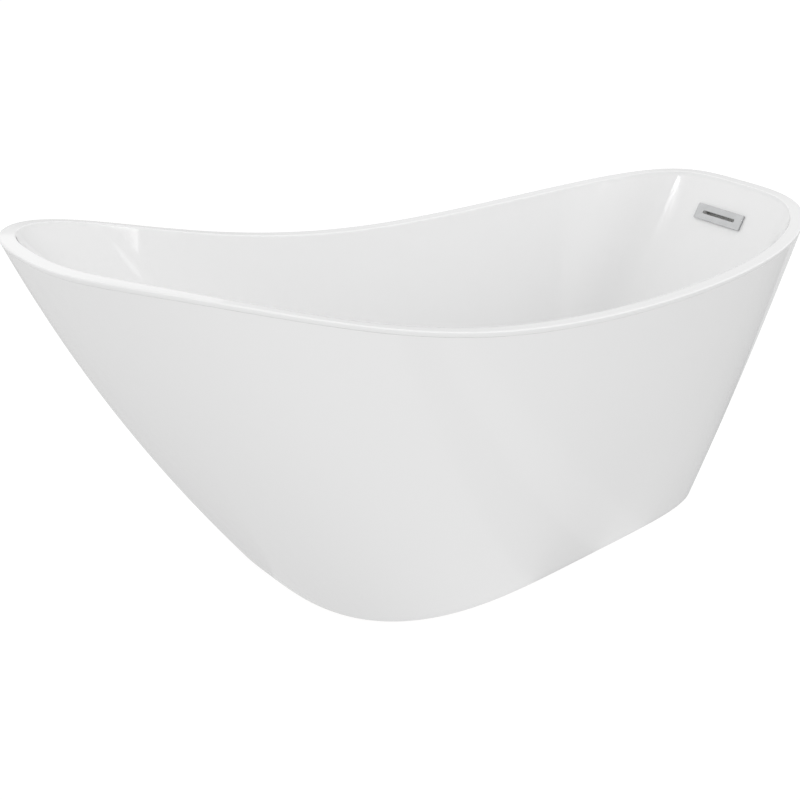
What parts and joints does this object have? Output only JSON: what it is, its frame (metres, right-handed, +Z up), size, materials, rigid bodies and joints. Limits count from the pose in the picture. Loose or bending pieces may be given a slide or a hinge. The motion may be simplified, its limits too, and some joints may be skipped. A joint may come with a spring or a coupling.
{
  "type": "freestanding bathtub",
  "caption": "Freestanding slipper bathtub with a raised backrest, slot overflow, push-to-close drain, levelling feet and a swivelling trap under its skirt.",
  "frame": {"origin": "on the floor, under the middle of the rim's overall length and width", "axes": "+X towards the lower end with the overflow, +Y to the back as seen from the front, +Z up"},
  "size_m": [1.7, 0.7, 0.724],
  "materials": {
    "basin_white": "gloss white acrylic",
    "skirt_white": "gloss white acrylic",
    "board_wood": "raw plywood",
    "stiffener_wood": "raw plywood strip",
    "frame_paint": "grey powder coat",
    "cap_plastic": "matte black moulded",
    "zinc_steel": "bright zinc plated",
    "yellow_zinc": "yellow zinc plated",
    "pad_plastic": "matte dark grey moulded",
    "black_rubber": "matte black rubber",
    "chrome": "polished chrome plate",
    "screw_steel": "stainless",
    "white_plastic": "satin white moulded",
    "nut_plastic": "satin white moulded",
    "hose_grey": "matte grey ribbed",
    "brass": "turned brass",
    "cartridge_plastic": "dark moulded"
  },
  "bodies": {
    "tub": {"basin_shell": "basin_white", "outer_skirt": "skirt_white", "skirt_stiffener": "stiffener_wood", "base_board": "board_wood", "frame_rail_front": "frame_paint", "frame_rail_rear": "frame_paint", "crossbar_backrest": "frame_paint", "crossbar_overflow": "frame_paint", "frame_end_caps": "cap_plastic", "frame_bolts": "zinc_steel", "board_tee_nuts": "zinc_steel", "rail_screws": "yellow_zinc", "foot_weld_nuts": "frame_paint", "foot_lock_nuts": "zinc_steel", "overflow_cover": "chrome", "overflow_seat": "white_plastic", "overflow_gasket": "black_rubber", "overflow_body": "white_plastic", "overflow_screws": "screw_steel", "overflow_hose": "hose_grey", "hose_nut_upper": "nut_plastic", "hose_nut_lower": "nut_plastic", "drain_flange": "chrome", "drain_flange_gasket": "black_rubber", "waste_gasket": "black_rubber", "waste_body": "white_plastic", "click_cartridge": "cartridge_plastic", "click_spring": "screw_steel", "trap_union_nut": "nut_plastic", "trap_washer": "black_rubber"},
    "foot_front_left": {"foot_stem_front_left": "zinc_steel", "foot_pad_front_left": "pad_plastic", "foot_sole_front_left": "black_rubber"},
    "foot_front_right": {"foot_stem_front_right": "zinc_steel", "foot_pad_front_right": "pad_plastic", "foot_sole_front_right": "black_rubber"},
    "foot_rear_left": {"foot_stem_rear_left": "zinc_steel", "foot_pad_rear_left": "pad_plastic", "foot_sole_rear_left": "black_rubber"},
    "foot_rear_right": {"foot_stem_rear_right": "zinc_steel", "foot_pad_rear_right": "pad_plastic", "foot_sole_rear_right": "black_rubber"},
    "plug": {"plug_cap": "chrome", "plug_seal": "black_rubber", "plug_spindle": "brass"},
    "trap": {"trap_body": "white_plastic", "outlet_seal": "black_rubber", "outlet_nut": "nut_plastic"}
  },
  "joints": [
    {"name": "foot_front_left_height", "type": "slide", "parent": "tub", "child": "foot_front_left", "axis": [0, 0, 1], "range_m": [-0.018, 0.003]},
    {"name": "foot_front_right_height", "type": "slide", "parent": "tub", "child": "foot_front_right", "axis": [0, 0, 1], "range_m": [-0.018, 0.003]},
    {"name": "foot_rear_left_height", "type": "slide", "parent": "tub", "child": "foot_rear_left", "axis": [0, 0, 1], "range_m": [-0.018, 0.003]},
    {"name": "foot_rear_right_height", "type": "slide", "parent": "tub", "child": "foot_rear_right", "axis": [0, 0, 1], "range_m": [-0.018, 0.003]},
    {"name": "plug_press", "type": "slide", "parent": "tub", "child": "plug", "axis": [0, 0, 1], "range_m": [-0.008, 0], "stiffness_N_per_m": 400, "springref_m": 0.01, "deforming": ["click_spring"]},
    {"name": "trap_swivel", "type": "hinge", "parent": "tub", "child": "trap", "pos_m": [0.37, 0, 0.066], "axis": [0, 0, 1], "range_deg": [-60, 60]}
  ]
}
